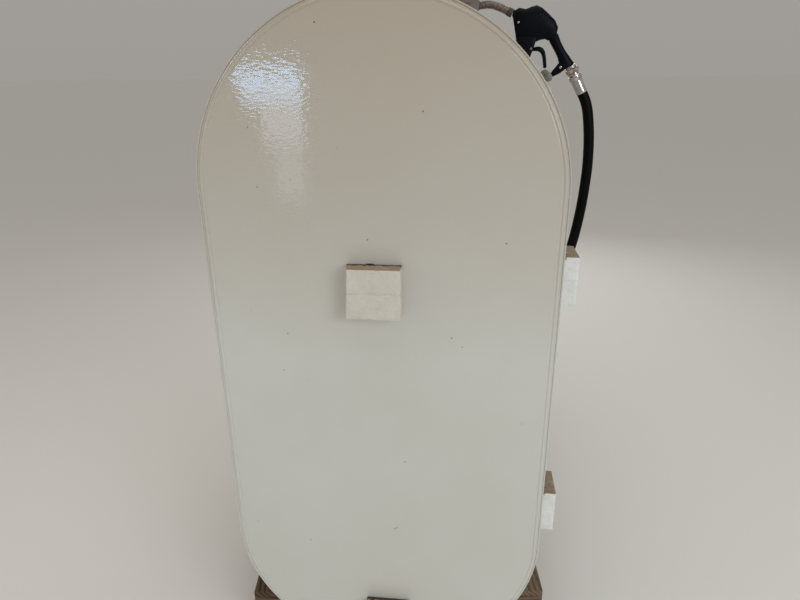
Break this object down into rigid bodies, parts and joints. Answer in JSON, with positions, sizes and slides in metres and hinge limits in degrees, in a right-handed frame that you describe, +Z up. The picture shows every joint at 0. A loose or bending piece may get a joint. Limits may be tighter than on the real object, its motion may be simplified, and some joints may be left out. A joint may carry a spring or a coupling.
{
  "type": "upright oval steel diesel storage tank on a pallet",
  "caption": "Flat-sided oval steel fuel tank on saddle feet and a wooden pallet, with foam pads, a pump housing, and a hose with a nozzle.",
  "frame": {"origin": "on the ground under the middle of the pallet, on the underside of its middle bottom board", "axes": "+Z up, +X across the tank to the side where the nozzle hangs, +Y along the tank away from its front end"},
  "size_m": [1.0754, 1.7186, 1.9086],
  "materials": {
    "enamel": "gloss off-white enamel over rolled sheet",
    "housing_paint": "satin grey-brown paint",
    "galvanised": "dull zinc coat",
    "chrome": "plated and handled",
    "spout_steel": "dull, fuel-stained steel tube",
    "zinc_casting": "grey die casting",
    "black_plastic": "satin moulded cover",
    "hose_rubber": "smooth black fuel hose",
    "pine": "weathered rough-sawn softwood",
    "foam": "expanded foam, dusty on top"
  },
  "bodies": {
    "tank": {"shell_bottom_round": "enamel", "shell_top_round": "enamel", "shell_left_side": "enamel", "shell_right_side": "enamel", "end_plate_front": "enamel", "end_plate_rear": "enamel", "saddle_front": "enamel", "saddle_rear": "enamel", "end_pad_front_centre": "foam", "end_pad_front_bottom": "foam", "end_pad_rear_centre": "foam", "end_pad_rear_bottom": "foam", "side_pad_front_upper": "foam", "side_pad_front_lower": "foam", "side_pad_rear_upper": "foam", "side_pad_rear_lower": "foam", "inspection_neck": "enamel", "inspection_cover": "enamel", "fill_pipe": "enamel", "fill_cap": "galvanised", "vent_pipe": "enamel", "vent_cowl": "galvanised", "level_gauge": "galvanised", "lifting_lug_front": "enamel", "lifting_lug_rear": "enamel", "pump_housing": "housing_paint", "pump_housing_lid": "housing_paint", "hose_outlet": "galvanised", "hose_ferrule_pump": "chrome", "dispensing_hose": "hose_rubber", "hose_ferrule_nozzle": "chrome", "nozzle_swivel": "chrome", "nozzle_grip": "black_plastic", "nozzle_body": "black_plastic", "nozzle_guard": "black_plastic", "nozzle_latch_clip": "zinc_casting", "nozzle_spout": "spout_steel", "pallet_bottom_board_left": "pine", "pallet_bottom_board_middle": "pine", "pallet_bottom_board_right": "pine", "pallet_bearer_front": "pine", "pallet_bearer_middle": "pine", "pallet_bearer_rear": "pine", "pallet_deck_board_1": "pine", "pallet_deck_board_2": "pine", "pallet_deck_board_3": "pine", "pallet_deck_board_4": "pine", "pallet_deck_board_5": "pine"},
    "lever": {"nozzle_lever": "black_plastic"}
  },
  "joints": [
    {"name": "nozzle_lever_squeeze", "type": "hinge", "parent": "tank", "child": "lever", "pos_m": [0.391, -0.06, 1.6103], "axis": [0, -1, 0], "range_deg": [0, 20], "stiffness_Nm_per_rad": 1.5, "springref_deg": -20.05}
  ]
}
